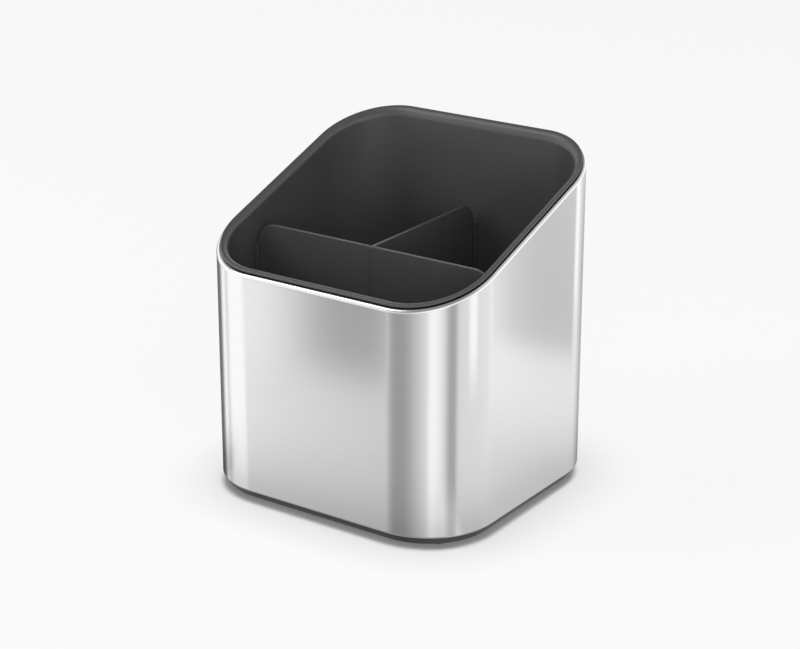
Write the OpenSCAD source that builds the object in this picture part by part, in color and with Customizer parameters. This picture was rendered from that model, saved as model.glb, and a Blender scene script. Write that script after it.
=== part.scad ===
// Utensil caddy: a brushed steel sleeve with a slanted mouth stands on a dark plinth with four soft feet.
// A moulded pot lifts out of the sleeve, and a T of two panels slides out of the pot.
// The origin is at the middle of the footprint, on the surface that the feet stand on. The front faces -Y.

/* [Overall] */
// Width of the sleeve, side to side
body_w = 135; // [118:1:160]
// Depth of the sleeve, front to back
body_d = 126; // [112:1:150]
// Radius of the upright corners, at the outer face of the sleeve
corner_r = 31.5; // [29:0.5:36]
// Height of the sleeve at its front, without the plinth
sleeve_front_h = 99; // [88:0.5:130]
// Slope of the mouth, in degrees, rising to the back
mouth_slope = 20; // [12:1:26]

/* [Steel sleeve] */
// Thickness of the steel sheet
sheet_t = 0.7; // [0.5:0.1:0.9]
// Outer radius of the rolled top edge
lip_r = 1.3; // [1.1:0.1:1.6]
// Outer radius of the bend at the bottom edge
hem_r = 1.1; // [1:0.1:1.5]
// Reach of the turned-in bottom edge, from the outer face
hem_reach = 6; // [5:0.5:6.5]

/* [Inner pot] */
// Distance from the sleeve's outer face to the pot's outer wall
pot_inset = 3.5; // [3:0.1:4]
// Thickness of the pot's wall
pot_wall = 1.8; // [1.6:0.1:2.4]
// Thickness of the pot's floor
pot_floor_t = 2.2; // [1.8:0.1:3]
// Outer radius round the pot's bottom edge
pot_edge_r = 4.5; // [4:0.1:6]
// Radius between the pot's walls and floor, inside
pot_fillet_r = 2.5; // [1.5:0.1:3]
// Distance from the sleeve's outer face to the edge of the rim
rim_inset = 1.5; // [1:0.1:2]
// Thickness of the rim at its edge
rim_t = 0.9; // [0.8:0.05:1.4]
// Radius of the rim's outer edge
rim_edge_r = 0.5; // [0.2:0.1:0.6]
// Radius where the rim turns down into the pot
rim_turn_r = 3.2; // [2.4:0.1:3.2]
// Height of the pads under the pot
pad_h = 4; // [3.5:0.1:6]
// Diameter of the pads under the pot
pad_d = 8; // [6:0.5:10]
// Distance of the pads from the sleeve's outer faces
pad_inset = 31; // [28:0.5:33]
// Diameter of the drain holes
drain_d = 6; // [4:0.5:7]
// Spacing of the drain holes
drain_pitch = 18; // [16:0.5:22]

/* [Divider panels] */
// Thickness of both panels
panel_t = 1.6; // [1.4:0.1:2.2]
// Height of both panels
panel_h = 98.9; // [80:0.1:100]
// Distance of the cross panel in front of the middle of the pot
cross_offset = 21.5; // [17:0.5:24]
// Radius of the panels' upper corners
panel_corner_r = 9.8; // [6:0.2:12]
// Radius of the panels' lower corners
panel_foot_r = 3.6; // [3.4:0.1:5]
// Radius of the upper corner at the tongue's end
tongue_corner_r = 1; // [0.9:0.1:1.5]
// Radius along the panels' edges
panel_edge_r = 0.3; // [0.2:0.05:0.5]
// Depth of the slot in the cross panel
slot_depth = 60; // [40:1:70]
// Distance of the tongue's end behind the cross panel's front face
tongue_recess = 0.3; // [0.1:0.1:0.8]
// Thickness of the guide ribs
rib_t = 1.2; // [1:0.1:1.8]
// Reach of the guide ribs from the pot's wall
rib_reach = 1.9; // [1.8:0.1:2.6]
// Distance of the ribs' tops below the panels' tops
rib_drop = 9.6; // [9.5:0.1:16]

/* [Base] */
// Distance from the sleeve's outer face to the plinth's
plinth_inset = 2.4; // [2:0.1:3]
// Height of the plinth
plinth_h = 3.3; // [3.2:0.1:5]
// Thickness of the plinth's plate
plate_t = 2.2; // [2:0.1:2.4]
// Radius of the plinth's lower edge
plinth_edge_r = 0.5; // [0.3:0.1:1]
// Width of the ridge that centres the plinth in the sleeve
ridge_t = 1.6; // [1.2:0.1:2.2]
// Distance from the sleeve's outer face to the sunk panel under the plinth
sunk_inset = 25; // [24.5:0.5:28]
// Depth of the sunk panel
sunk_depth = 0.6; // [0.3:0.1:0.9]
// Thickness of the drip tray's floor
tray_floor_t = 2; // [1.6:0.1:2.6]
// Thickness of the drip tray's wall
tray_wall_t = 1.6; // [1.2:0.1:2]
// Radius round the drip tray's bottom edge
tray_edge_r = 0.8; // [0.4:0.1:1.2]
// Thickness of plastic left over the screws' pilot holes
boss_roof_t = 1.2; // [0.8:0.1:1.6]

/* [Feet and screws] */
// Diameter of a foot
foot_d = 12; // [10:0.5:13]
// Height of the feet below the plinth
foot_proud = 1.5; // [1:0.1:2.5]
// Depth that the feet are let into the plinth
foot_sunk = 1; // [0.6:0.1:1.1]
// Radius of a foot's lower edge
foot_edge_r = 0.5; // [0.2:0.1:0.8]
// Distance of the feet's middles from the sleeve's outer faces
foot_inset = 17; // [16.5:0.1:20]
// Diameter of the screws' shanks
screw_d = 3; // [2.6:0.1:3.4]
// Diameter of the screws' heads
head_d = 5.6; // [5:0.1:6]
// Height of the screws' heads
head_h = 1.4; // [1.2:0.1:1.6]
// Width of the screws' sockets, across flats
socket_w = 2; // [1.6:0.1:2.4]
// Diameter of the bosses that the screws pull on
boss_d = 8; // [7:0.5:9]

/* [Clearances] */
// Gap between the rim and the sleeve's rolled edge
rim_gap = 0.6; // [0.4:0.05:0.8]
// Gap round the pot, inside the rolled edge
pot_gap = 0.4; // [0.3:0.05:0.6]
// Gap round the drip tray as it goes down through the rolled edge
tray_gap = 0.2; // [0.1:0.05:0.3]
// Gap beside a sliding panel, on each face
slide_gap = 0.25; // [0.15:0.05:0.4]
// Gap between a panel's end and the pot's wall
end_gap = 1; // [0.6:0.1:1.2]
// Gap left by the clamped sheet between the plinth and the drip tray
clamp_gap = 0.2; // [0.1:0.05:0.3]
// Gap round the ridge, the feet and the screws, and under the screws' heads
seat_gap = 0.2; // [0.1:0.05:0.3]
// Gap between a screw's shank and its pilot hole
pilot_gap = 0.05; // [0.02:0.01:0.1]
// Gap between the pot's floor and the bosses below it
boss_gap = 1; // [0.6:0.1:1.4]
// Height that the drip tray's wall rises beside the pot's rounded edge
nest_h = 0.5; // [0.2:0.1:0.7]

/* [Hidden] */
$fn = 96;

// How far a cut runs past what it cuts
overrun = 1;
steel_colour = "silver";
plastic_colour = "#38383a";
rubber_colour = "#222223";
zinc_colour = "#9a9da1";

// Heights above the surface, from the feet up
sleeve_z = foot_proud + plinth_h;
tray_z = sleeve_z + sheet_t;
tray_floor_z = tray_z + tray_floor_t;
pot_z = tray_floor_z + pad_h;
pot_floor_z = pot_z + pot_floor_t;
crest_z = sleeve_z + sleeve_front_h;
rim_z = crest_z + rim_gap;
panel_top_z = pot_floor_z + panel_h;
rib_top_z = panel_top_z - rib_drop;
mouth_rise = body_d * tan(mouth_slope);
tall = crest_z + mouth_rise;

// Distances in from the sleeve's outer face
lip_reach = pot_inset - pot_gap;
cavity_inset = pot_inset + pot_wall;
tray_inset = lip_reach + tray_gap;
ridge_inset = hem_reach + seat_gap;
cavity_w = body_w - 2 * cavity_inset;
cavity_d = body_d - 2 * cavity_inset;

// Panels
cross_w = cavity_w - 2 * end_gap;
rear_front_y = -cross_offset + panel_t / 2 + slide_gap;
rear_back_y = cavity_d / 2 - end_gap;
tongue_y = -cross_offset - panel_t / 2 + tongue_recess;
tongue_h = slot_depth - slide_gap;

// Screws and what they pass
web_z = foot_proud + foot_sunk + head_h + seat_gap;
ridge_top_z = tray_z - clamp_gap;
boss_top_z = pot_z - boss_gap;
pilot_top_z = boss_top_z - boss_roof_t;
screw_tip_z = pilot_top_z - seat_gap;

// Where the feet and screws stand, and where the pads stand
foot_x = body_w / 2 - foot_inset;
foot_y = body_d / 2 - foot_inset;
pad_x = body_w / 2 - pad_inset;
pad_y = body_d / 2 - pad_inset;

body_radii = [corner_r, corner_r, corner_r, corner_r];

// A quarter-round corner to cut away: the material outside a circle of radius r, past its upper right
module corner_cut(r) difference() {
    square(r + overrun);
    circle(r);
}

// Flat outline w by d, moved in by inset. Its corner radii are listed from the lower right, anticlockwise.
module outline(w, d, radii, inset = 0) {
    difference() {
        square([w - 2 * inset, d - 2 * inset], center = true);
        for (turn = [0 : 3]) {
            r = radii[(turn + 1) % 4] - inset;
            out = (turn % 2 == 0 ? w : d) / 2 - inset - r;
            side = (turn % 2 == 0 ? d : w) / 2 - inset - r;
            rotate(turn * 90) translate([out, side]) corner_cut(r);
        }
    }
}

// Sweeps an upright profile once round that outline. The profile's x is the distance out from the outline.
module swept(w, d, radii) {
    for (turn = [0 : 3]) {
        before = radii[turn];
        after = radii[(turn + 1) % 4];
        out = (turn % 2 == 0 ? w : d) / 2;
        side = (turn % 2 == 0 ? d : w) / 2;
        rotate(turn * 90) {
            translate([out, side - after, 0]) rotate([90, 0, 0])
                linear_extrude(2 * side - before - after) children();
            translate([out - after, side - after, 0]) rotate_extrude(angle = 90)
                translate([after, 0]) children();
        }
    }
}

module body_outline(inset) outline(body_w, body_d, body_radii, inset);
module round_body() swept(body_w, body_d, body_radii) children();

// A solid of the body's outline with a rounded bottom edge
module tub(inset, edge_r, h) {
    linear_extrude(edge_r) body_outline(inset + edge_r);
    translate([0, 0, edge_r]) linear_extrude(h - edge_r) body_outline(inset);
    round_body() translate([-inset - edge_r, edge_r]) intersection() {
        circle(edge_r);
        mirror([0, 1]) square(edge_r);
    }
}

// Slants its children with the mouth, z high at the front face
module slanted(z) {
    rise_share = tan(mouth_slope);
    multmatrix([
        [1, 0, 0, 0],
        [0, 1, 0, 0],
        [0, rise_share, 1, z + rise_share * body_d / 2],
        [0, 0, 0, 1]
    ]) children();
}

// All the space above the slanted plane that is z high at the front face
module above(z) slanted(z) translate([-body_w, -body_d, 0]) cube([2 * body_w, 2 * body_d, tall]);

// Copies its children to the four feet or pads
module four(x, y) for (side = [-1, 1], end = [-1, 1]) translate([side * x, end * y, 0]) children();

// Rolled top edge of the sheet, from its tangent at the outer face to its inner end
module lip_profile() difference() {
    translate([-lip_reach, 0]) square([lip_reach, lip_r]);
    translate([-lip_r, 0]) corner_cut(lip_r);
    translate([-lip_r, 0]) circle(lip_r - sheet_t);
    translate([-lip_reach - overrun, -overrun])
        square([lip_reach - lip_r + overrun, lip_r - sheet_t + overrun]);
}

// Turned-in bottom edge of the sheet
module hem_profile() difference() {
    translate([-hem_reach, 0]) square([hem_reach, hem_r]);
    translate([-hem_r, hem_r]) mirror([0, 1]) corner_cut(hem_r);
    translate([-hem_r, hem_r]) circle(hem_r - sheet_t);
    translate([-hem_reach - overrun, sheet_t]) square([hem_reach - hem_r + overrun, hem_r]);
}

module steel_sleeve() color(steel_colour) {
    difference() {
        translate([0, 0, sleeve_z + hem_r]) linear_extrude(tall) difference() {
            body_outline(0);
            body_outline(sheet_t);
        }
        above(crest_z - lip_r);
    }
    slanted(crest_z - lip_r) round_body() lip_profile();
    translate([0, 0, sleeve_z]) round_body() hem_profile();
}

// Dark plinth under the sleeve. Its ridge and screw posts stand inside the sleeve's turned-in edge.
module base_plinth() color(plastic_colour) difference() {
    union() {
        translate([0, 0, foot_proud]) tub(plinth_inset, plinth_edge_r, plinth_h);
        translate([0, 0, foot_proud + plate_t]) linear_extrude(ridge_top_z - foot_proud - plate_t)
            body_outline(ridge_inset);
    }
    difference() {
        translate([0, 0, foot_proud + plate_t]) linear_extrude(plinth_h) body_outline(ridge_inset + ridge_t);
        four(foot_x, foot_y) cylinder(h = tall, r = boss_d / 2);
    }
    linear_extrude(foot_proud + sunk_depth) body_outline(sunk_inset);
    four(foot_x, foot_y) {
        cylinder(h = foot_proud + foot_sunk, r = foot_d / 2 + seat_gap);
        cylinder(h = web_z, r = head_d / 2 + seat_gap);
        cylinder(h = tray_z, r = screw_d / 2 + seat_gap);
    }
}

// Tray that clamps the sleeve's turned-in edge from above and catches what drains from the pot
module drip_tray() color(plastic_colour) difference() {
    union() {
        difference() {
            translate([0, 0, tray_z]) tub(tray_inset, tray_edge_r, tray_floor_t + pad_h + nest_h);
            translate([0, 0, tray_floor_z]) linear_extrude(tall) body_outline(tray_inset + tray_wall_t);
        }
        four(foot_x, foot_y) translate([0, 0, tray_z]) cylinder(h = boss_top_z - tray_z, r = boss_d / 2);
    }
    four(foot_x, foot_y) cylinder(h = pilot_top_z, r = screw_d / 2 + pilot_gap);
}

module base_screws() color(zinc_colour) four(foot_x, foot_y) difference() {
    union() {
        translate([0, 0, web_z - head_h]) cylinder(h = head_h, r = head_d / 2);
        translate([0, 0, web_z - head_h / 2]) cylinder(h = screw_tip_z - web_z + head_h / 2, r = screw_d / 2);
    }
    cylinder(h = web_z - head_h / 2, r = socket_w / sqrt(3), $fn = 6);
}

// Soft disc foot, let into the plinth and standing proud of it
module foot(side, end) color(rubber_colour) translate([side * foot_x, end * foot_y, 0]) rotate_extrude()
    difference() {
        square([foot_d / 2, foot_proud + foot_sunk]);
        translate([foot_d / 2 - foot_edge_r, foot_edge_r]) mirror([0, 1]) corner_cut(foot_edge_r);
    }

// Rim of the pot: a thin edge that laps over the sleeve and turns down into the pot's wall
module rim_profile() difference() {
    union() {
        translate([-cavity_inset, -rim_turn_r]) square([pot_wall, rim_turn_r + rim_t]);
        translate([-cavity_inset, 0]) square([cavity_inset - rim_inset, rim_t]);
    }
    translate([-rim_inset - rim_edge_r, rim_t - rim_edge_r]) corner_cut(rim_edge_r);
    translate([rim_turn_r - cavity_inset, rim_t - rim_turn_r]) mirror([1, 0]) corner_cut(rim_turn_r);
}

// Two ribs on the wall at x = 0, one on each face of the panel that slides between them
module guide() for (face = [0, 1]) mirror([0, face, 0])
    translate([-rib_reach, panel_t / 2 + slide_gap, pot_z + pot_floor_t / 2])
        cube([rib_reach + pot_wall / 2, rib_t, rib_top_z - pot_z - pot_floor_t / 2]);

// Rows of drain holes either side of both panels, where the pot's floor is flat
module drains() {
    flat_inset = cavity_inset + pot_fillet_r + drain_d / 2;
    columns = floor((body_w / 2 - flat_inset) / drain_pitch + 1 / 2);
    for (row = [-8 : 8], column = [0 : columns - 1], side = [-1, 1]) {
        x = (column + 1 / 2) * drain_pitch;
        y = row * drain_pitch - cross_offset;
        past_x = max(0, x - body_w / 2 + corner_r);
        past_y = max(0, abs(y) - body_d / 2 + corner_r);
        if (row != 0 && norm([past_x, past_y]) < corner_r - flat_inset)
            translate([side * x, y, 0]) cylinder(h = pot_floor_z + overrun, r = drain_d / 2);
    }
}

module inner_pot() color(plastic_colour) difference() {
    union() {
        difference() {
            translate([0, 0, pot_z]) tub(pot_inset, pot_edge_r, tall);
            translate([0, 0, pot_floor_z]) tub(cavity_inset, pot_fillet_r, tall);
            above(rim_z - rim_turn_r);
        }
        slanted(rim_z) round_body() rim_profile();
        translate([cavity_w / 2, -cross_offset, 0]) guide();
        translate([-cavity_w / 2, -cross_offset, 0]) rotate(180) guide();
        translate([0, cavity_d / 2, 0]) rotate(90) guide();
        four(pad_x, pad_y) translate([0, 0, tray_floor_z])
            cylinder(h = pad_h + pot_floor_t / 2, r = pad_d / 2);
    }
    drains();
}

// Upright panel w wide and h high, facing the front, with all its edges softened. The soft edge starts a little
// way inside the flat middle, so that the two join.
module panel(w, h, radii) rotate([90, 0, 0]) {
    linear_extrude(panel_t, center = true) outline(w, h, radii, panel_edge_r);
    swept(w, h, radii) {
        translate([-1.5 * panel_edge_r, -panel_t / 2]) square([panel_edge_r / 2, panel_t]);
        translate([-1.5 * panel_edge_r, panel_edge_r - panel_t / 2])
            square([1.5 * panel_edge_r, panel_t - 2 * panel_edge_r]);
        for (face = [0, 1]) mirror([0, face]) translate([-panel_edge_r, panel_t / 2 - panel_edge_r])
            intersection() {
                circle(panel_edge_r);
                square(panel_edge_r);
            }
    }
}

module cross_divider() color(plastic_colour) difference() {
    translate([0, -cross_offset, pot_floor_z + panel_h / 2])
        panel(cross_w, panel_h, [panel_foot_r, panel_corner_r, panel_corner_r, panel_foot_r]);
    slot_w = panel_t + 2 * slide_gap;
    translate([-slot_w / 2, -cross_offset - panel_t, panel_top_z - slot_depth])
        cube([slot_w, 2 * panel_t, slot_depth + overrun]);
}

// The rear panel's tongue drops into the cross panel's slot. Below the tongue, its front stands back.
module rear_divider() color(plastic_colour) difference() {
    translate([0, (rear_back_y + tongue_y) / 2, pot_floor_z + panel_h / 2]) rotate(90)
        panel(rear_back_y - tongue_y, panel_h,
            [panel_foot_r, panel_corner_r, tongue_corner_r, tongue_corner_r]);
    translate([-panel_t, tongue_y - overrun, pot_floor_z - overrun])
        cube([2 * panel_t, rear_front_y - tongue_y + overrun, panel_h - tongue_h + overrun]);
}

steel_sleeve();
base_plinth();
drip_tray();
base_screws();
foot(-1, -1);  // foot_front_left
foot(1, -1);  // foot_front_right
foot(-1, 1);  // foot_back_left
foot(1, 1);  // foot_back_right
inner_pot();
cross_divider();
rear_divider();
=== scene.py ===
"""Looks of the utensil caddy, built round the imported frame: metres, +Z up, the low front faces -Y."""

from math import atan2, cos, degrees, floor, hypot, pi, radians, sin, tan

import bmesh
import bpy
from mathutils import Matrix, Vector

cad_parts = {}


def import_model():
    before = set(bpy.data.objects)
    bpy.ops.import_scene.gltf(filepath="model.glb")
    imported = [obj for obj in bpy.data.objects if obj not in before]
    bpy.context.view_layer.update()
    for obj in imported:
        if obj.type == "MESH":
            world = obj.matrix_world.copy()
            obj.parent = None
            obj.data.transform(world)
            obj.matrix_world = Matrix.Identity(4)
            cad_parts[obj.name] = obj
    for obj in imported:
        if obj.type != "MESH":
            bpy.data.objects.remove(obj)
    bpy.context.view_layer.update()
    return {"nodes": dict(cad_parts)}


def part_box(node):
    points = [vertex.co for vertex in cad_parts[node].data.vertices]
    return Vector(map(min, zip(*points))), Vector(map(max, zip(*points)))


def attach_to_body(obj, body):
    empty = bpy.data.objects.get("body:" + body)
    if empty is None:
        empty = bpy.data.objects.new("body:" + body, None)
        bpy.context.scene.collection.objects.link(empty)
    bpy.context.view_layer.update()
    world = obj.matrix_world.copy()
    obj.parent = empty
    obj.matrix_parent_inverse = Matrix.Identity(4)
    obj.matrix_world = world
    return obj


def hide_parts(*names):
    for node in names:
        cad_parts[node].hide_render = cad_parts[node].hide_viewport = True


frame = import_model()

MM = 0.001

# Sizes that the frame gives: each box is the lowest and highest corner of one node
sleeve_low, sleeve_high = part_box("steel_sleeve")
pot_low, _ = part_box("inner_pot")
cross_low, cross_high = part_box("cross_divider")
rear_low, rear_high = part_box("rear_divider")
body_w = sleeve_high.x - sleeve_low.x
body_d = sleeve_high.y - sleeve_low.y
front_y = sleeve_low.y
panel_t = cross_high.y - cross_low.y
cross_y = (cross_high.y + cross_low.y) / 2

# Sizes that the boxes don't give, as the part has them
mouth_slope = radians(20)
corner_r = 31.5 * MM
sheet_t = 0.7 * MM
lip_r = 1.3 * MM
lip_reach = 3.1 * MM
hem_r = 1.1 * MM
hem_reach = 6 * MM
pad_h = 4 * MM
pad_d = 8 * MM
pad_inset = 31 * MM
drain_d = 6 * MM
drain_pitch = 18 * MM
pot_inset = 3.5 * MM
pot_wall = 1.8 * MM
pot_floor_t = 2.2 * MM
pot_edge_r = 4.5 * MM
pot_fillet_r = 2.5 * MM
rim_inset = 1.5 * MM
rim_t = 0.9 * MM
rim_edge_r = 0.5 * MM
rim_turn_r = 3.2 * MM
rim_gap = 0.6 * MM
panel_corner_r = 9.8 * MM
panel_foot_r = 3.6 * MM
panel_edge_r = 0.3 * MM
tongue_corner_r = 1 * MM
slot_depth = 60 * MM
slide_gap = 0.25 * MM
rib_t = 1.2 * MM
rib_reach = 1.9 * MM
rib_drop = 9.6 * MM

# The joint line on the cross panel is as fine as in the photograph: the slot all but closes round the
# tongue, which comes further forward than the part's own
slot_gap = 0.02 * MM
tongue_reach = 0.1 * MM

# Softening that is too fine for the part's own solids
sheet_edge_r = 0.15 * MM
slot_edge_r = 0.06 * MM
slot_corner_r = 0.5 * MM
post_edge = 0.25 * MM

# The slanted crest and rim have their heights at the front face, worked out from the back, the highest
mouth_rise = body_d * tan(mouth_slope)
crest_z = sleeve_high.z - mouth_rise + lip_r * (tan(mouth_slope) + 1 - 1 / cos(mouth_slope))
rim_z = crest_z + rim_gap

# The pot's underside, floor and cavity, and the tops of its ribs
pot_z = pot_low.z + pad_h
pot_floor_z = pot_z + pot_floor_t
rib_top_z = cross_high.z - rib_drop
cavity_inset = pot_inset + pot_wall
cavity_w = body_w - 2 * cavity_inset
cavity_d = body_d - 2 * cavity_inset

# How finely round stretches are divided, and what counts as one point, a straight corner or a crease
CORNER_STEPS = 24
BEND_STEP = radians(9)
EDGE_STEPS = 3
POST_CORNER_STEPS = 8
MERGE_GAP = 1e-6
LEAST_BEND = 1e-4
CREASE = radians(32)


# Shapes: rounded profiles and outlines, and pieces swept round the caddy's own outline

def rounded(corners):
    """Rounds the corners (x, y, radius, *rest) of a closed path. Returns its points as (x, y, *rest)."""
    points = []
    for i, (x, y, radius, *rest) in enumerate(corners):
        here = Vector((x, y))
        before = (Vector(corners[i - 1][:2]) - here).normalized()
        after = (Vector(corners[(i + 1) % len(corners)][:2]) - here).normalized()
        bend = pi - before.angle(after)
        if radius <= 0 or bend < LEAST_BEND:
            points.append((x, y, *rest))
            continue
        reach = radius * tan(bend / 2)
        centre = here + (before + after).normalized() * (radius / cos(bend / 2))
        first = here + before * reach - centre
        turn = bend if first.cross(here + after * reach - centre) > 0 else -bend
        steps = max(2, round(bend / BEND_STEP))
        for step in range(steps + 1):
            arm = Matrix.Rotation(turn * step / steps, 2) @ first
            points.append((*(centre + arm), *rest))
    return points


def body_ring():
    """Stations round the sleeve's outline, anticlockwise: an arc's centre and the direction out of it."""
    ring = []
    for quarter in range(4):
        side_x, side_y = [(1, 1), (-1, 1), (-1, -1), (1, -1)][quarter]
        centre = Vector((side_x * (body_w / 2 - corner_r), side_y * (body_d / 2 - corner_r)))
        for step in range(CORNER_STEPS + 1):
            angle = (quarter + step / CORNER_STEPS) * pi / 2
            ring.append((centre, Vector((cos(angle), sin(angle)))))
    return ring


def bridged(name, rows, capped=False):
    """Joins rows of points, one to the next, into a closed skin. If capped, each end has a flat face."""
    mesh = bmesh.new()
    rows = [[mesh.verts.new(spot) for spot in row] for row in rows]
    pairs = list(zip(rows, rows[1:])) + ([] if capped else [(rows[-1], rows[0])])
    for low, high in pairs:
        for i in range(len(low)):
            mesh.faces.new((low[i - 1], low[i], high[i], high[i - 1]))
    if capped:
        mesh.faces.new(reversed(rows[0]))
        mesh.faces.new(rows[-1])
    return new_piece(name, mesh)


def swept(name, profile, capped=False):
    """Sweeps a profile of (out, height, slanted) round the sleeve's outline. out is measured from the
    sleeve's outer face, and a slanted point follows the mouth's slope."""
    rows = []
    for out, height, slanted in profile:
        row = []
        for centre, away in body_ring():
            spot = centre + away * (corner_r + out)
            rise = (spot.y - front_y) * tan(mouth_slope) if slanted else 0
            row.append((spot.x, spot.y, height + rise))
        rows.append(row)
    return bridged(name, rows, capped)


def slab(name, outline, place):
    """An upright panel with softened edges. outline(inset, slot_inset) gives its corners, its own edges
    drawn in by the one and its slot's by the other. place(across, height, depth) gives a point's place."""
    half = panel_t / 2
    sides = []
    for step in range(EDGE_STEPS + 1):
        turn = step / EDGE_STEPS * pi / 2
        inset, slot_inset = panel_edge_r * (1 - sin(turn)), slot_edge_r * (1 - sin(turn))
        sides.append((inset, slot_inset, half - panel_edge_r * (1 - cos(turn))))
    rings = sides + [(inset, slot_inset, -depth) for inset, slot_inset, depth in reversed(sides)]
    return bridged(name, [
        [place(across, height, depth) for across, height in rounded(outline(inset, slot_inset))]
        for inset, slot_inset, depth in rings
    ], capped=True)


def new_piece(name, mesh):
    """Makes an object of a bmesh, with its doubles merged and its faces turned outwards."""
    bmesh.ops.remove_doubles(mesh, verts=mesh.verts, dist=MERGE_GAP)
    bmesh.ops.recalc_face_normals(mesh, faces=mesh.faces)
    data = bpy.data.meshes.new(name)
    mesh.to_mesh(data)
    mesh.free()
    piece = bpy.data.objects.new(name, data)
    bpy.context.scene.collection.objects.link(piece)
    return piece


def smoothed(piece):
    """Shades a piece smoothly up to its creases, with its large flat faces kept flat."""
    piece.data.shade_smooth()
    piece.data.set_sharp_from_angle(angle=CREASE)
    weigh = piece.modifiers.new("even_shading", "WEIGHTED_NORMAL")
    weigh.keep_sharp = True
    weigh.weight = 100
    return applied(piece)


def applied(piece):
    """Turns a piece with its modifiers into a plain mesh."""
    bpy.context.view_layer.update()
    graph = bpy.context.evaluated_depsgraph_get()
    data = bpy.data.meshes.new_from_object(piece.evaluated_get(graph))
    piece.modifiers.clear()
    old = piece.data
    piece.data = data
    bpy.data.meshes.remove(old)
    data.name = piece.name
    return piece


def combined(piece, other, operation):
    """Adds another piece to this one, or cuts it away, and drops the other."""
    boolean = piece.modifiers.new("combined", "BOOLEAN")
    boolean.operation = operation
    boolean.solver = "EXACT"
    boolean.object = other
    applied(piece)
    bpy.data.objects.remove(other)
    return piece


# Node helpers, for shaders and for geometry

def attach(tree, socket, value):
    """Links a node's output to a socket, or sets the socket to a plain value."""
    if isinstance(value, bpy.types.NodeSocket):
        tree.links.new(value, socket)
    else:
        socket.default_value = value


def node(tree, kind, *inputs, **settings):
    """Adds a node. Listed inputs are set or linked in order, None being left. A setting sets the node's
    own property of its name, or else sets or links the input of that name, with _ for a space."""
    made = tree.nodes.new(kind)
    for key, value in settings.items():
        if hasattr(made, key):
            setattr(made, key, value)
    for socket, value in zip(made.inputs, inputs):
        if value is not None:
            attach(tree, socket, value)
    for key, value in settings.items():
        if not hasattr(made, key):
            attach(tree, made.inputs[key.replace("_", " ")], value)
    return made


def maths(tree, operation, *inputs):
    """The result of one sum."""
    return node(tree, "ShaderNodeMath", *inputs, operation=operation).outputs[0]


def new_group(name, kind, inputs, outputs):
    """A node group with named sockets. Each input is (name, type, its value to start from or None)."""
    group = bpy.data.node_groups.new(name, kind)
    for title, socket, value in inputs:
        made = group.interface.new_socket(title, in_out="INPUT", socket_type=socket)
        if value is not None:
            made.default_value = value
    for title, socket in outputs:
        group.interface.new_socket(title, in_out="OUTPUT", socket_type=socket)
    return group, group.nodes.new("NodeGroupInput").outputs, group.nodes.new("NodeGroupOutput").inputs


# Posts: upright bars and pegs with softened ends, stood on points by geometry nodes

def post_tree():
    """Each point gets an upright post of a rounded outline, turned by the point's facing. Its ends are
    drawn in by Edge over the same height, or flared where Edge is negative, as on a cutter."""
    tree, given, result = new_group("posts", "GeometryNodeTree", [
        ("Points", "NodeSocketGeometry", None),
        ("Width", "NodeSocketFloat", 4 * MM),
        ("Depth", "NodeSocketFloat", 4 * MM),
        ("Corner", "NodeSocketFloat", 1 * MM),
        ("Height", "NodeSocketFloat", 10 * MM),
        ("Edge", "NodeSocketFloat", 0.2 * MM),
        ("Material", "NodeSocketMaterial", None),
    ], [("Posts", "NodeSocketGeometry")])
    # The path's points, by index going up, are the foot, its shoulder, the top's shoulder and the top
    path_points, middle = 4, 1.5
    index = node(tree, "GeometryNodeInputIndex").outputs[0]
    last_two = maths(tree, "GREATER_THAN", index, middle)
    outer = maths(tree, "GREATER_THAN", maths(tree, "ABSOLUTE", maths(tree, "SUBTRACT", index, middle)), 1)
    step = maths(tree, "MULTIPLY", maths(tree, "ABSOLUTE", given["Edge"]),
                 maths(tree, "SUBTRACT", 1.0, outer))
    sign = maths(tree, "SUBTRACT", 1.0, maths(tree, "MULTIPLY", last_two, 2.0))
    height = maths(tree, "ADD", maths(tree, "MULTIPLY", last_two, given["Height"]),
                   maths(tree, "MULTIPLY", step, sign))
    half = maths(tree, "MULTIPLY", maths(tree, "MINIMUM", given["Width"], given["Depth"]), 0.5)
    share = maths(tree, "SUBTRACT", 1.0,
                  maths(tree, "MULTIPLY", outer, maths(tree, "DIVIDE", given["Edge"], half)))
    path = node(tree, "GeometryNodeMeshLine", Count=path_points)
    path = node(tree, "GeometryNodeSetPosition", path.outputs[0],
                Position=node(tree, "ShaderNodeCombineXYZ", 0.0, 0.0, height).outputs[0])
    path = node(tree, "GeometryNodeMeshToCurve", path.outputs[0])
    path = node(tree, "GeometryNodeSetCurveRadius", path.outputs[0], Radius=share)
    outline = node(tree, "GeometryNodeCurvePrimitiveQuadrilateral", given["Width"], given["Depth"])
    outline = node(tree, "GeometryNodeFilletCurve", outline.outputs[0], Radius=given["Corner"],
                   Count=POST_CORNER_STEPS, Limit_Radius=True, mode="POLY")
    post = node(tree, "GeometryNodeCurveToMesh", path.outputs[0], outline.outputs[0], Fill_Caps=True)
    facing = node(tree, "GeometryNodeInputNamedAttribute", data_type="FLOAT", Name="facing").outputs[0]
    stood = node(tree, "GeometryNodeInstanceOnPoints", given["Points"], Instance=post.outputs[0],
                 Rotation=node(tree, "ShaderNodeCombineXYZ", 0.0, 0.0, facing).outputs[0])
    real = node(tree, "GeometryNodeRealizeInstances", stood.outputs[0])
    merged = node(tree, "GeometryNodeMergeByDistance", real.outputs[0], Distance=MERGE_GAP)
    dressed = node(tree, "GeometryNodeSetMaterial", merged.outputs[0], Material=given["Material"])
    tree.links.new(dressed.outputs[0], result["Posts"])
    return tree


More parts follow.
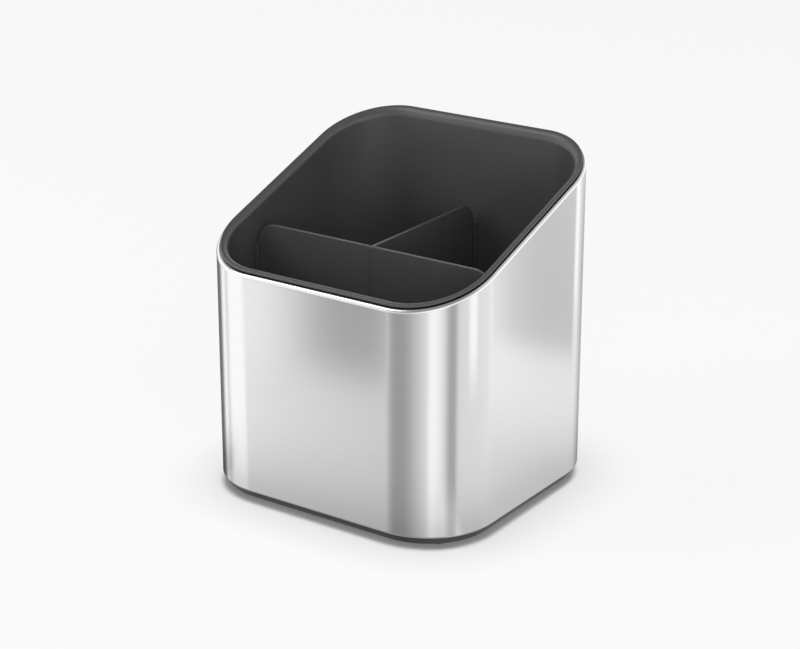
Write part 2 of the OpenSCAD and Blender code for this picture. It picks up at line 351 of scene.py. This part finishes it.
def posts(name, tree, places, material, **sizes):
    """Stands a post of these sizes on each place (x, y, z, facing)."""
    mesh = bmesh.new()
    facing = mesh.verts.layers.float.new("facing")
    for x, y, z, turn in places:
        mesh.verts.new((x, y, z))[facing] = turn
    piece = new_piece(name, mesh)
    modifier = piece.modifiers.new("posts", "NODES")
    modifier.node_group = tree
    sockets = {item.name: item.identifier for item in tree.interface.items_tree if item.in_out == "INPUT"}
    for key, value in sizes.items():
        modifier[sockets[key]] = value
    modifier[sockets["Material"]] = material
    applied(piece)
    mesh = bmesh.new()
    mesh.from_mesh(piece.data)
    bmesh.ops.recalc_face_normals(mesh, faces=mesh.faces)
    mesh.to_mesh(piece.data)
    mesh.free()
    return piece


# Pieces

def steel_sleeve():
    """The sheet in section, its top edge rolled in and its bottom edge turned in, and swept round."""
    base = sleeve_low.z
    return smoothed(swept("sleeve", rounded([
        (-hem_reach, base, sheet_edge_r, False),
        (0, base, hem_r, False),
        (0, crest_z, lip_r, True),
        (-lip_reach, crest_z, sheet_edge_r, True),
        (-lip_reach, crest_z - sheet_t, sheet_edge_r, True),
        (-sheet_t, crest_z - sheet_t, lip_r - sheet_t, True),
        (-sheet_t, base + sheet_t, hem_r - sheet_t, False),
        (-hem_reach, base + sheet_t, sheet_edge_r, False),
    ])))


def drain_places():
    """Rows of holes either side of both panels, where the pot's floor is flat."""
    flat_inset = cavity_inset + pot_fillet_r + drain_d / 2
    last_row = floor(body_d / drain_pitch)
    places = []
    for row in range(-last_row, last_row + 1):
        for column in range(floor((body_w / 2 - flat_inset) / drain_pitch + 1 / 2)):
            x = (column + 1 / 2) * drain_pitch
            y = row * drain_pitch + cross_y
            past = hypot(max(0, x - body_w / 2 + corner_r), max(0, abs(y) - body_d / 2 + corner_r))
            if row != 0 and past < corner_r - flat_inset:
                places += [(x, y, pot_z, 0), (-x, y, pot_z, 0)]
    return places


def inner_pot(tree, material):
    """One sweep makes the wall and rim, and its caps the floor. Posts add ribs and pads and cut holes."""
    cap_edge = -2 * pot_edge_r - pot_inset
    pot = swept("pot", rounded([
        (cap_edge, pot_z, 0, False),
        (-pot_inset, pot_z, pot_edge_r, False),
        (-pot_inset, rim_z, sheet_edge_r, True),
        (-rim_inset, rim_z, sheet_edge_r, True),
        (-rim_inset, rim_z + rim_t, rim_edge_r, True),
        (-cavity_inset, rim_z + rim_t, rim_turn_r, True),
        (-cavity_inset, pot_floor_z, pot_fillet_r, False),
        (cap_edge, pot_floor_z, 0, False),
    ]), capped=True)
    # A rib's middle is aside of its panel's, and root out of the wall, in which its back is sunk
    aside = (panel_t + rib_t) / 2 + slide_gap
    root = rib_reach / 2 - pot_wall / 4
    mid_floor_z = pot_z + pot_floor_t / 2
    ribs = []
    for side in (-1, 1):
        ribs += [(x, cross_y + side * aside, mid_floor_z, 0)
                 for x in (root - cavity_w / 2, cavity_w / 2 - root)]
        ribs.append((side * aside, cavity_d / 2 - root, mid_floor_z, pi / 2))
    pads = [(x * (body_w / 2 - pad_inset), y * (body_d / 2 - pad_inset), pot_low.z, 0)
            for x in (-1, 1) for y in (-1, 1)]
    combined(pot, posts(
        "guide_ribs", tree, ribs, material, Width=rib_reach + pot_wall / 2, Depth=rib_t,
        Corner=post_edge, Height=rib_top_z - mid_floor_z, Edge=post_edge), "UNION")
    combined(pot, posts(
        "pads", tree, pads, material, Width=pad_d, Depth=pad_d,
        Corner=pad_d / 2, Height=pad_h + pot_floor_t / 2, Edge=post_edge), "UNION")
    # The cutters pass both faces of the floor by post_edge, so half of their flare bevels each hole
    flare = 2 * post_edge
    holes = [(x, y, z - post_edge, turn) for x, y, z, turn in drain_places()]
    combined(pot, posts(
        "drain_holes", tree, holes, material, Width=drain_d, Depth=drain_d,
        Corner=drain_d / 2, Height=pot_floor_t + 2 * post_edge, Edge=-flare), "DIFFERENCE")
    return smoothed(pot)


def cross_panel():
    """The panel across the pot, with a slot in its upper edge."""
    low, high = cross_low.z, cross_high.z
    slot_x = panel_t / 2 + slot_gap

    def outline(inset, slot_inset):
        end, foot, top = cross_high.x - inset, low + inset, high - inset
        gate, stop = slot_x + slot_inset, high - slot_depth - slot_inset
        return [
            (-end, foot, panel_foot_r - inset), (end, foot, panel_foot_r - inset),
            (end, top, panel_corner_r - inset),
            (gate, top, slot_corner_r), (gate, stop, slot_corner_r),
            (-gate, stop, slot_corner_r), (-gate, top, slot_corner_r),
            (-end, top, panel_corner_r - inset),
        ]

    return smoothed(slab("cross_panel", outline,
                         lambda across, height, depth: (across, cross_y + depth, height)))


def rear_panel():
    """The panel behind it, with a tongue that fills the slot."""
    low, high = rear_low.z, rear_high.z
    shoulder_y = cross_high.y + slide_gap
    tongue_z = high - slot_depth + slide_gap

    def outline(inset, slot_inset):
        back, foot, top = rear_high.y - inset, low + inset, high - inset
        tip, shoulder = rear_low.y - tongue_reach + slot_inset, shoulder_y + inset
        tongue_foot = tongue_z + slot_inset
        return [
            (shoulder, foot, tongue_corner_r - inset), (back, foot, panel_foot_r - inset),
            (back, top, panel_corner_r - inset), (tip, top, tongue_corner_r - inset),
            (tip, tongue_foot, slot_corner_r), (shoulder, tongue_foot, slot_corner_r),
        ]

    return smoothed(slab("rear_panel", outline, lambda across, height, depth: (depth, across, height)))


# Finishes: shader groups that the materials share

# How often the broad streaks come, as a share of the fine lines: twice for along them, then up the piece
STREAK_SHARE = (0.35, 0.35, 0.14)

# Most of what a noise texture gives lies between these
NOISE_LOW, NOISE_HIGH = 0.25, 0.75


def brushed_lines():
    """Fine lines that run level round a piece and change up it, and broader streaks among them."""
    tree, given, result = new_group("brushed_lines", "ShaderNodeTree", [
        ("Line Width", "NodeSocketFloat", 0.15 * MM),
        ("Line Length", "NodeSocketFloat", 30 * MM),
    ], [("Lines", "NodeSocketFloat"), ("Streaks", "NodeSocketFloat")])
    place = node(tree, "ShaderNodeTexCoord").outputs["Object"]
    size = node(tree, "ShaderNodeCombineXYZ", given["Line Length"], given["Line Length"],
                given["Line Width"]).outputs[0]
    lines = node(tree, "ShaderNodeVectorMath", place, size, operation="DIVIDE").outputs[0]
    broad = node(tree, "ShaderNodeVectorMath", lines, STREAK_SHARE, operation="MULTIPLY").outputs[0]
    for spot, title in ((lines, "Lines"), (broad, "Streaks")):
        noise = node(tree, "ShaderNodeTexNoise", Vector=spot, Scale=1.0, Detail=2.0, Roughness=0.6)
        tree.links.new(noise.outputs["Fac"], result[title])
    return tree


def moulded_grain():
    """The fine even texture of a spark-eroded mould, and a faint mottling where the plastic flowed."""
    tree, given, result = new_group("moulded_grain", "ShaderNodeTree", [
        ("Grain Size", "NodeSocketFloat", 0.3 * MM),
        ("Mottle Size", "NodeSocketFloat", 20 * MM),
    ], [("Grain", "NodeSocketFloat"), ("Mottle", "NodeSocketFloat")])
    place = node(tree, "ShaderNodeTexCoord").outputs["Object"]
    for size, title, detail in (("Grain Size", "Grain", 1.0), ("Mottle Size", "Mottle", 3.0)):
        noise = node(tree, "ShaderNodeTexNoise", Vector=place, Detail=detail,
                     Scale=maths(tree, "DIVIDE", 1.0, given[size]))
        tree.links.new(noise.outputs["Fac"], result[title])
    return tree


# Materials

def new_material(name, **inputs):
    """A material whose Principled inputs start from these values."""
    material = bpy.data.materials.new(name)
    material.use_nodes = True
    tree = material.node_tree
    shader = tree.nodes["Principled BSDF"]
    for key, value in inputs.items():
        shader.inputs[key.replace("_", " ")].default_value = value
    return material, tree, shader


def placed(tree, group, **sizes):
    """Places a shader group and sets its inputs."""
    made = node(tree, "ShaderNodeGroup", node_tree=group)
    for key, value in sizes.items():
        made.inputs[key.replace("_", " ")].default_value = value
    return made


def mapped(tree, value, start, end, low, high):
    """Turns a value that runs from start to end into one that runs from low to high."""
    return node(tree, "ShaderNodeMapRange", value, start, end, low, high).outputs[0]


def roughened(tree, shader, mask, low, high):
    """Varies the roughness by a mask of noise."""
    tree.links.new(mapped(tree, mask, NOISE_LOW, NOISE_HIGH, low, high), shader.inputs["Roughness"])


def tinted(tree, shader, mask, dark, pale):
    """Varies the base colour by a mask. A Mix node has its colours at inputs 6 and 7 and output 2."""
    mix = node(tree, "ShaderNodeMix", data_type="RGBA", clamp_factor=True)
    attach(tree, mix.inputs[0], mask)
    mix.inputs[6].default_value = (*dark, 1)
    mix.inputs[7].default_value = (*pale, 1)
    tree.links.new(mix.outputs[2], shader.inputs["Base Color"])


def bumped(tree, shader, height, depth, strength):
    """Varies the surface's slope by a height, for grain too fine for the mesh."""
    bump = node(tree, "ShaderNodeBump", Height=height, Distance=depth, Strength=strength)
    tree.links.new(bump.outputs[0], shader.inputs["Normal"])


def steel_material(lines_group):
    """Stainless sheet, brushed level round the sleeve."""
    material, tree, shader = new_material(
        "brushed_steel", Metallic=1, Anisotropic=0.35, Anisotropic_Rotation=0.25)
    lines = placed(tree, lines_group, Line_Width=0.16 * MM, Line_Length=28 * MM)
    tinted(tree, shader, lines.outputs["Streaks"], (0.785, 0.785, 0.797), (0.815, 0.815, 0.825))
    roughened(tree, shader, lines.outputs["Lines"], 0.17, 0.21)
    bumped(tree, shader, lines.outputs["Lines"], 0.002 * MM, 0.5)
    tangent = node(tree, "ShaderNodeTangent", direction_type="RADIAL", axis="Z")
    tree.links.new(tangent.outputs["Tangent"], shader.inputs["Tangent"])
    return material


def plastic_material(name, grain_group, dark, pale):
    """Moulded polypropylene with a fine matt texture."""
    material, tree, shader = new_material(name, Specular_IOR_Level=0.62)
    grain = placed(tree, grain_group, Grain_Size=0.35 * MM, Mottle_Size=18 * MM)
    tinted(tree, shader, grain.outputs["Mottle"], dark, pale)
    roughened(tree, shader, grain.outputs["Mottle"], 0.35, 0.39)
    bumped(tree, shader, grain.outputs["Grain"], 0.01 * MM, 0.5)
    return material


def rubber_material(grain_group):
    """The soft feet."""
    material, tree, shader = new_material("soft_rubber", Specular_IOR_Level=0.35)
    grain = placed(tree, grain_group, Grain_Size=0.2 * MM, Mottle_Size=6 * MM)
    tinted(tree, shader, grain.outputs["Mottle"], (0.018, 0.018, 0.019), (0.024, 0.024, 0.025))
    roughened(tree, shader, grain.outputs["Grain"], 0.68, 0.78)
    bumped(tree, shader, grain.outputs["Grain"], 0.02 * MM, 0.6)
    return material


def zinc_material(lines_group, grain_group):
    """Zinc-plated screws, mottled by the plating."""
    material, tree, shader = new_material("screw_steel", Metallic=1)
    grain = placed(tree, grain_group, Grain_Size=0.4 * MM, Mottle_Size=2.5 * MM)
    lines = placed(tree, lines_group, Line_Width=0.12 * MM, Line_Length=2 * MM)
    tinted(tree, shader, grain.outputs["Mottle"], (0.47, 0.48, 0.50), (0.54, 0.54, 0.55))
    roughened(tree, shader, grain.outputs["Grain"], 0.28, 0.4)
    bumped(tree, shader, lines.outputs["Lines"], 0.01 * MM, 0.5)
    return material


# Stage: camera, floor, a studio that only reflections see, and lamps

def camera():
    """The photograph's viewpoint, found from the outlines of the sleeve and the rim."""
    azimuth, elevation, distance = radians(34.913), radians(20.261), 935.08 * MM
    across, height = -0.4721 * MM, 70.784 * MM
    back = direction(azimuth, elevation)
    right = Vector((cos(azimuth), sin(azimuth), 0))
    target = right * across + Vector((0, 0, height))
    data = bpy.data.cameras.new("camera")
    data.lens = 96.369
    data.sensor_width = 36
    data.clip_start = 0.01
    data.clip_end = 50
    made = bpy.data.objects.new("camera", data)
    made.matrix_world = (Matrix.Translation(target + back * distance)
                         @ back.to_track_quat("Z", "Y").to_matrix().to_4x4())
    bpy.context.scene.collection.objects.link(made)
    bpy.context.scene.camera = made
    bpy.context.scene.view_settings.view_transform = "Standard"


def direction(azimuth, elevation):
    """Azimuth 0 points out of the caddy's front, and +90 degrees out of its right side."""
    return Vector((sin(azimuth) * cos(elevation), -cos(azimuth) * cos(elevation), sin(elevation)))


def studio_floor():
    """A pale floor that glows, with painted shadow on its glow: dark at the caddy's foot, and soft further
    out.
    """
    half_width = 8
    rays = 8
    front_y_end, back_y_end = -35 * MM, 60 * MM
    front_reach, back_reach, wide_reach = 7 * MM, 5.3 * MM, 30 * MM
    glow_level, matt_level = 0.868, 0.1
    mesh = bmesh.new()
    bmesh.ops.create_grid(mesh, x_segments=1, y_segments=1, size=half_width)
    piece = new_piece("floor", mesh)
    material, tree, shader = new_material("floor")
    tree.nodes.remove(shader)
    place = node(tree, "ShaderNodeTexCoord").outputs["Object"]
    back = node(tree, "ShaderNodeSeparateXYZ", place).outputs["Y"]
    reach = mapped(tree, back, front_y_end, back_y_end, front_reach, back_reach)
    near = node(tree, "ShaderNodeAmbientOcclusion", Distance=reach, samples=rays).outputs["AO"]
    wide = node(tree, "ShaderNodeAmbientOcclusion", Distance=wide_reach, samples=rays).outputs["AO"]
    # How open the floor is, between two values, is turned into how bright it is, between two others:
    # painted shadow
    foot_shade = mapped(tree, near, 0.535, 0.67, 0.235, 1.0)
    wide_shade = mapped(tree, wide, 0.5, 1.0, 0.795, 1.0)
    shade = maths(tree, "MULTIPLY", foot_shade, wide_shade)
    matt = node(tree, "ShaderNodeBsdfDiffuse", (matt_level, matt_level, matt_level, 1))
    glow = node(tree, "ShaderNodeEmission", (1, 1, 1, 1), maths(tree, "MULTIPLY", shade, glow_level))
    both = node(tree, "ShaderNodeAddShader", matt.outputs[0], glow.outputs[0])
    tree.links.new(both.outputs[0], tree.nodes["Material Output"].inputs["Surface"])
    piece.data.materials.append(material)
    piece.visible_glossy = False
    piece.visible_transmission = False


def soft_step(x, low, high):
    """Rises smoothly from 0 at low to 1 at high, and stays level past them. low may be the larger."""
    share = min(1, max(0, (x - low) / (high - low)))
    return share * share * (3 - 2 * share)


def band(x, start, full_from, full_to, end):
    """1 between full_from and full_to, and smoothly down to 0 at start and at end."""
    return soft_step(x, start, full_from) * (1 - soft_step(x, full_to, end))


def near_bearing(azimuth, centre, end, full):
    """1 up to full degrees from a centre on either side, and smoothly down to 0 at end degrees from it."""
    return soft_step(abs((azimuth - centre + 180) % 360 - 180), end, full)


# Levels of the studio, where white paper has 1
WALL_LEVEL = 0.86
RING_LEVEL = 1.2
CEILING_LEVEL = 0.31
UNDER_LEVEL = 0.45

# Elevations in degrees: where the ring is full, how far below that it starts, how much lower it comes at
# the back, and where the ceiling, and the grey under the floor, start and are full
RING_FULL = 14
RING_FADE = 10
RING_DROP = 18
CEILING_FROM = 36
CEILING_FULL = 44
UNDER_FROM = -32
UNDER_FULL = -45

# Bands of the wall, each laid over those before it, by azimuth in degrees: where it starts, is full, stops
# being full and ends, and its level
WALL_BANDS = [
    (100, 150, 160, 176, 0.97),
    (162, 190, 218, 226, 0.48),
    (220, 236, 253.5, 264, 0.155),
    (261.5, 267, 270, 275, 1.24),
    (275, 278, 283, 286, 0.78),
    (280, 284, 314, 324, 1.19),
    (320.5, 343.5, 354, 398, 0.39),
    (32, 36, 42, 60, 1.17),
    (56, 66, 74, 78, 0.42),
]


def studio_level(azimuth, elevation):
    """How bright the studio is in a direction, in degrees. The ring is shaded in front, and pale and dark
    side by side at the back left, where the ceiling is dark too. At the back right the ceiling is paler."""
    level = WALL_LEVEL
    for start, full_from, full_to, end, value in WALL_BANDS:
        at = start + (azimuth - start) % 360
        level += (value - level) * band(at, start, full_from, full_to, end)
    shaded = near_bearing(azimuth, 349, 34, 8)
    behind = near_bearing(azimuth, 233, 14, 7)
    pale = near_bearing(azimuth, 213, 14, 6)
    lifted = near_bearing(azimuth, 140, 65, 35)
    ring = RING_LEVEL - 0.48 * shaded - 0.7 * behind + 0.8 * pale
    ceiling = CEILING_LEVEL - 0.23 * behind + 0.35 * lifted
    ring_full = RING_FULL - RING_DROP * band(azimuth, 90, 130, 190, 230)
    level += (ring - level) * soft_step(elevation, ring_full - RING_FADE, ring_full)
    level += (UNDER_LEVEL - level) * soft_step(elevation, UNDER_FROM, UNDER_FULL)
    return level + (ceiling - level) * soft_step(elevation, CEILING_FROM, CEILING_FULL)


def seen_in_gloss(name, mesh):
    """Stands a mesh that only reflections see. Its vertices' glow is what it sends out, and passed is the
    share of the light behind it that it lets through."""
    data = bpy.data.meshes.new(name)
    mesh.to_mesh(data)
    mesh.free()
    piece = bpy.data.objects.new(name, data)
    bpy.context.scene.collection.objects.link(piece)
    material, tree, shader = new_material(name)
    tree.nodes.remove(shader)
    glow = node(tree, "ShaderNodeAttribute", attribute_name="glow").outputs["Fac"]
    passed = node(tree, "ShaderNodeAttribute", attribute_name="passed").outputs["Fac"]
    film = node(tree, "ShaderNodeBsdfTransparent",
                node(tree, "ShaderNodeCombineColor", passed, passed, passed).outputs[0])
    light = node(tree, "ShaderNodeEmission", (1, 1, 1, 1), glow)
    both = node(tree, "ShaderNodeAddShader", film.outputs[0], light.outputs[0])
    tree.links.new(both.outputs[0], tree.nodes["Material Output"].inputs["Surface"])
    material.cycles.emission_sampling = "NONE"
    data.materials.append(material)
    piece.visible_camera = piece.visible_diffuse = piece.visible_shadow = False
    piece.visible_transmission = False


def studio_wall():
    """A round studio: bands low down, a bright ring above, a grey ceiling, and grey under the floor."""
    radius, turns, rows = 1.6, 720, 60
    mesh = bmesh.new()
    glow = mesh.verts.layers.float.new("glow")
    rings = []
    for row in range(1, rows):
        elevation = -90 + 180 * row / rows
        ring = []
        for turn in range(turns):
            azimuth = turn * 360 / turns
            vert = mesh.verts.new(direction(radians(azimuth), radians(elevation)) * radius)
            vert[glow] = studio_level(azimuth, elevation)
            ring.append(vert)
        rings.append(ring)
    for low, high in zip(rings, rings[1:]):
        for i in range(turns):
            mesh.faces.new((low[i - 1], high[i - 1], high[i], low[i]))
    mesh.faces.new(rings[0])
    mesh.faces.new(rings[-1])
    seen_in_gloss("studio_wall", mesh)


def flag(name, low, high, level, columns=40, rows=40):
    """An upright sheet of film near the caddy, from its low corner to its high one. level(x, y, z) gives
    the share of light that it lets through and the glow that it adds. All are in millimetres."""
    low, high = Vector(low) * MM, Vector(high) * MM
    mesh = bmesh.new()
    passed = mesh.verts.layers.float.new("passed")
    glow = mesh.verts.layers.float.new("glow")
    grid = []
    for row in range(rows + 1):
        line = []
        for column in range(columns + 1):
            spot = low.lerp(high, column / columns)
            spot.z = low.z + (high.z - low.z) * row / rows
            vert = mesh.verts.new(spot)
            vert[passed], vert[glow] = level(*(spot / MM))
            line.append(vert)
        grid.append(line)
    for lower, upper in zip(grid, grid[1:]):
        for i in range(columns):
            mesh.faces.new((lower[i], lower[i + 1], upper[i + 1], upper[i]))
    seen_in_gloss(name, mesh)


def front_flag():
    """Darkens a soft stripe of what the front reflects, and lifts its left end."""
    def level(x, y, z):
        dark = 0.475 * band(x, -111, -76, -46, -40) * soft_step(z, 7, 24)
        pale = 0.11 * band(x, -145, -135, -124, -102) * soft_step(z, 2, 18)
        return 1 - dark, pale

    flag("front_flag", (-145, -177, -5), (-25, -177, 100), level)


def side_flag():
    """Darkens most of what the right side reflects, above a sloping foot, and lifts its front part."""
    def level(x, y, z):
        foot = 31 - 0.4 * (y - 95)
        dark = 0.365 * band(y, 92, 108, 184, 204) * soft_step(z - foot, -6, 6)
        pale = 0.08 * band(y, 56, 66, 108, 140) * soft_step(z, -20, 20)
        return 1 - dark, pale

    flag("side_flag", (147.5, 55, -60), (147.5, 210, 110), level, columns=80, rows=60)


def side_strip():
    """A pale strip beside the caddy, which its front right corner reflects."""
    def level(x, y, z):
        return 1, 0.34 * band(y, -36, -30, -12, -6) * soft_step(z, 22, 60)

    flag("side_strip", (147.5, -40, 20), (147.5, 0, 120), level)


def back_strip():
    """A pale strip behind the caddy, which its back right corner reflects."""
    def level(x, y, z):
        return 1, 0.24 * band(x, 90, 102, 116, 129) * soft_step(z, 32, 54)

    flag("back_strip", (85, 150, 30), (135, 150, 130), level)


# The caddy's shade on the floor: millimetres out from the sleeve, and the share of light left there
SHADE_RINGS = [(0, 0.62), (17, 0.69), (33, 0.81), (60, 0.93), (79, 0.97), (100, 1)]


def floor_shade():
    """Painted reflection of the floor in the steel: the caddy's own shade, deeper at the left, and a pale
    patch by the front right corner."""
    mesh = bmesh.new()
    passed = mesh.verts.layers.float.new("passed")
    glow = mesh.verts.layers.float.new("glow")
    rings = []
    for out, share in SHADE_RINGS:
        ring = []
        for centre, away in body_ring():
            spot = centre + away * (corner_r + out * MM)
            vert = mesh.verts.new((spot.x, spot.y, 0))
            azimuth = degrees(atan2(away.x, -away.y))
            deeper = 0.28 * near_bearing(azimuth, -66, 22, 8) * (1 - soft_step(out, 20, 60))
            vert[passed] = share * (1 - deeper)
            vert[glow] = 0.22 * near_bearing(azimuth, 58, 14, 5) * (1 - soft_step(out, 30, 75))
            ring.append(vert)
        rings.append(ring)
    for inner, outer in zip(rings, rings[1:]):
        for i in range(len(inner)):
            mesh.faces.new((inner[i - 1], outer[i - 1], outer[i], inner[i]))
    seen_in_gloss("floor_shade", mesh)


def lamp(name, azimuth, elevation, distance, size, level, in_gloss=False):
    """A square softbox that faces the caddy. level is how white a white card facing it would be."""
    aim = Vector((0, 0, 80 * MM))
    data = bpy.data.lights.new(name, "AREA")
    data.shape = "SQUARE"
    data.size = size
    data.energy = level * pi ** 2 * distance ** 2
    made = bpy.data.objects.new(name, data)
    away = direction(radians(azimuth), radians(elevation))
    made.matrix_world = (Matrix.Translation(aim + away * distance)
                         @ away.to_track_quat("Z", "Y").to_matrix().to_4x4())
    made.visible_glossy = in_gloss
    made.visible_camera = False
    bpy.context.scene.collection.objects.link(made)


def world():
    """Light from all round, weaker overhead, and the pale background that the camera sees."""
    side_level, top_level, seen_level = 0.42, 0.20, 0.945
    made = bpy.data.worlds.new("studio")
    bpy.context.scene.world = made
    made.use_nodes = True
    made.cycles.sampling_method = "NONE"
    tree = made.node_tree
    path = node(tree, "ShaderNodeLightPath").outputs
    seen = maths(tree, "MAXIMUM", path["Is Camera Ray"], path["Is Glossy Ray"])
    seen = maths(tree, "MAXIMUM", seen, path["Is Transmission Ray"])
    place = node(tree, "ShaderNodeTexCoord").outputs["Generated"]
    height = node(tree, "ShaderNodeSeparateXYZ", place).outputs["Z"]
    light = mapped(tree, height, 0.0, 1.0, side_level, top_level)
    background = tree.nodes["Background"].inputs
    tree.links.new(mapped(tree, seen, 0.0, 1.0, light, seen_level), background["Strength"])
    background["Color"].default_value = (1, 1, 1, 1)


def dress(piece, body, slot, material, *nodes):
    """Gives a finished piece its material and its body, and hides the nodes that it stands in for. slot is
    not used.
    """
    piece.data.materials.clear()
    piece.data.materials.append(material)
    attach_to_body(piece, body)
    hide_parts(*nodes)


# Everything made, dressed and placed

lines, grain, post = brushed_lines(), moulded_grain(), post_tree()
steel = steel_material(lines)
plastic = plastic_material("dark_plastic", grain, (0.049, 0.049, 0.051), (0.054, 0.054, 0.056))
# The plinth and drip tray get a darker copy of the pot's plastic. This is painted shade, standing for the
# shade they have tucked under the sleeve.
shaded_base_plastic = plastic_material("shaded_base_plastic", grain, (0.026, 0.026, 0.027), (0.030, 0.030, 0.031))
rubber = rubber_material(grain)
zinc = zinc_material(lines, grain)

dress(steel_sleeve(), "shell", "brushed_steel", steel, "steel_sleeve")
dress(inner_pot(post, plastic), "pot", "dark_plastic", plastic, "inner_pot")
dress(cross_panel(), "cross_panel", "dark_plastic", plastic, "cross_divider")
dress(rear_panel(), "rear_panel", "dark_plastic", plastic, "rear_divider")
for name, material in (("base_plinth", shaded_base_plastic), ("drip_tray", shaded_base_plastic), ("base_screws", zinc)):
    frame["nodes"][name].material_slots[0].material = material
for side in ("left", "right"):
    for end in ("front", "back"):
        frame["nodes"][f"foot_{end}_{side}"].material_slots[0].material = rubber

camera()
studio_floor()
studio_wall()
front_flag()
side_flag()
side_strip()
back_strip()
floor_shade()

# Each lamp's azimuth and elevation in degrees, its distance and size in metres, and its level
lamp("key_light", 40, 36, 3.0, 2.2, 0.39)
lamp("left_light", -66, 54, 1.5, 0.6, 0.17, in_gloss=True)
lamp("left_fill", -48, 30, 3.0, 1.6, 0.34)
lamp("right_fill", 92, 30, 3.0, 1.6, 0.15)
lamp("low_fill", 50, 9, 1.2, 0.35, 0.22)
world()
